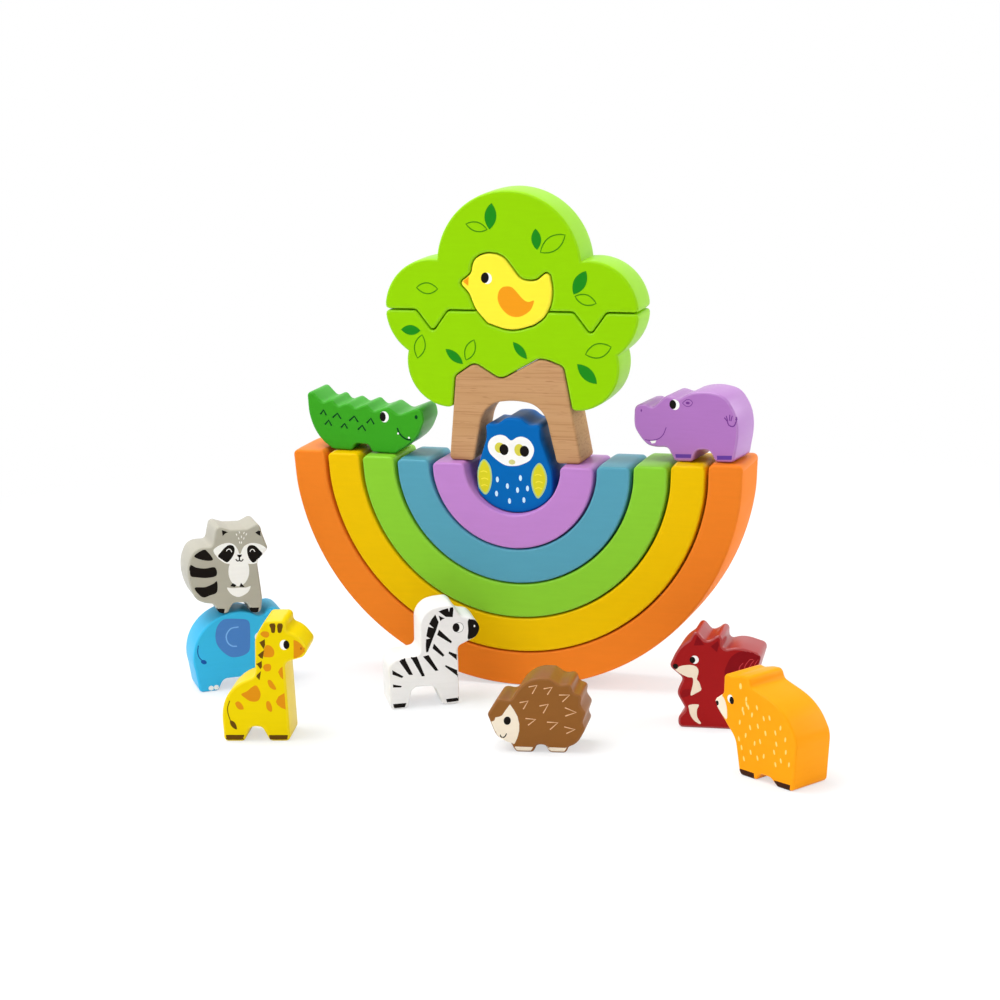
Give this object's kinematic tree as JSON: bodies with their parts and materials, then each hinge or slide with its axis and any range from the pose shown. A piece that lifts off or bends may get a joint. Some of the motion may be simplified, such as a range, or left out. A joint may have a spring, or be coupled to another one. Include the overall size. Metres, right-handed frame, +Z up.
{
  "type": "balance game",
  "caption": "Wooden balance game: nested rainbow half rings rock on a table and carry a take-apart tree, an owl and stacking animal blocks.",
  "frame": {"origin": "middle of the whole set's footprint, on the table", "axes": "+X to the right along the rocker's width, +Y from the printed fronts to the back, +Z up"},
  "size_m": [0.3866, 0.1742, 0.275],
  "materials": {
    "orange_arc": "painted satin",
    "yellow_arc": "painted satin",
    "green_arc": "painted satin",
    "blue_arc": "painted satin",
    "purple_arc": "painted satin",
    "trunk": "bare satin",
    "foliage": "painted satin",
    "chick": "painted satin",
    "owl": "painted satin",
    "crocodile": "painted satin",
    "hippo": "painted satin",
    "raccoon": "painted satin",
    "elephant": "painted satin",
    "giraffe": "painted satin",
    "zebra": "painted satin",
    "hedgehog": "painted satin",
    "squirrel": "painted satin",
    "bear": "painted satin"
  },
  "bodies": {
    "orange_arc": {"orange_arc": "orange_arc"},
    "yellow_arc": {"yellow_arc": "yellow_arc"},
    "green_arc": {"green_arc": "green_arc"},
    "blue_arc": {"blue_arc": "blue_arc"},
    "purple_arc": {"purple_arc": "purple_arc"},
    "owl": {"owl": "owl"},
    "trunk": {"trunk": "trunk"},
    "lower_foliage": {"lower_foliage": "foliage"},
    "upper_foliage": {"upper_foliage": "foliage"},
    "chick": {"chick": "chick"},
    "crocodile": {"crocodile": "crocodile"},
    "hippo": {"hippo": "hippo"},
    "elephant": {"elephant": "elephant"},
    "raccoon": {"raccoon": "raccoon"},
    "giraffe": {"giraffe": "giraffe"},
    "zebra": {"zebra": "zebra"},
    "hedgehog": {"hedgehog": "hedgehog"},
    "squirrel": {"squirrel": "squirrel"},
    "bear": {"bear": "bear"}
  },
  "joints": [
    {"name": "rock", "type": "hinge", "parent": "hedgehog", "child": "orange_arc", "pos_m": [-0.00681, 0.06908, 0.13], "axis": [0, 1, 0], "range_deg": [-10, 10]},
    {"name": "yellow_lift", "type": "slide", "parent": "orange_arc", "child": "yellow_arc", "axis": [0, 0, 1], "range_m": [0, 0.115]},
    {"name": "green_lift", "type": "slide", "parent": "yellow_arc", "child": "green_arc", "axis": [0, 0, 1], "range_m": [0, 0.095]},
    {"name": "blue_lift", "type": "slide", "parent": "green_arc", "child": "blue_arc", "axis": [0, 0, 1], "range_m": [0, 0.075]},
    {"name": "purple_lift", "type": "slide", "parent": "blue_arc", "child": "purple_arc", "axis": [0, 0, 1], "range_m": [0, 0.055]},
    {"name": "trunk_lift", "type": "slide", "parent": "purple_arc", "child": "trunk", "axis": [0, 0, 1], "range_m": [0, 0.05]},
    {"name": "lower_foliage_lift", "type": "slide", "parent": "trunk", "child": "lower_foliage", "axis": [0, 0, 1], "range_m": [0, 0.04]},
    {"name": "upper_foliage_lift", "type": "slide", "parent": "lower_foliage", "child": "upper_foliage", "axis": [0, 0, 1], "range_m": [0, 0.04]},
    {"name": "chick_pull", "type": "slide", "parent": "upper_foliage", "child": "chick", "axis": [0, -1, 0], "range_m": [0, 0.035]},
    {"name": "owl_pull", "type": "slide", "parent": "purple_arc", "child": "owl", "axis": [0, -1, 0], "range_m": [0, 0.045]},
    {"name": "crocodile_lift", "type": "slide", "parent": "blue_arc", "child": "crocodile", "axis": [-0.7071, 0, 0.7071], "range_m": [0, 0.05]},
    {"name": "hippo_lift", "type": "slide", "parent": "blue_arc", "child": "hippo", "axis": [0.7071, 0, 0.7071], "range_m": [0, 0.05]},
    {"name": "elephant_lift", "type": "slide", "parent": "hedgehog", "child": "elephant", "axis": [0, 0, 1], "range_m": [0, 0.08]},
    {"name": "raccoon_lift", "type": "slide", "parent": "elephant", "child": "raccoon", "axis": [0, 0, 1], "range_m": [0, 0.05]},
    {"name": "giraffe_lift", "type": "slide", "parent": "hedgehog", "child": "giraffe", "axis": [0, 0, 1], "range_m": [0, 0.08]},
    {"name": "zebra_lift", "type": "slide", "parent": "hedgehog", "child": "zebra", "axis": [0, 0, 1], "range_m": [0, 0.08]},
    {"name": "squirrel_lift", "type": "slide", "parent": "hedgehog", "child": "squirrel", "axis": [0, 0, 1], "range_m": [0, 0.08]},
    {"name": "bear_lift", "type": "slide", "parent": "hedgehog", "child": "bear", "axis": [0, 0, 1], "range_m": [0, 0.08]}
  ]
}
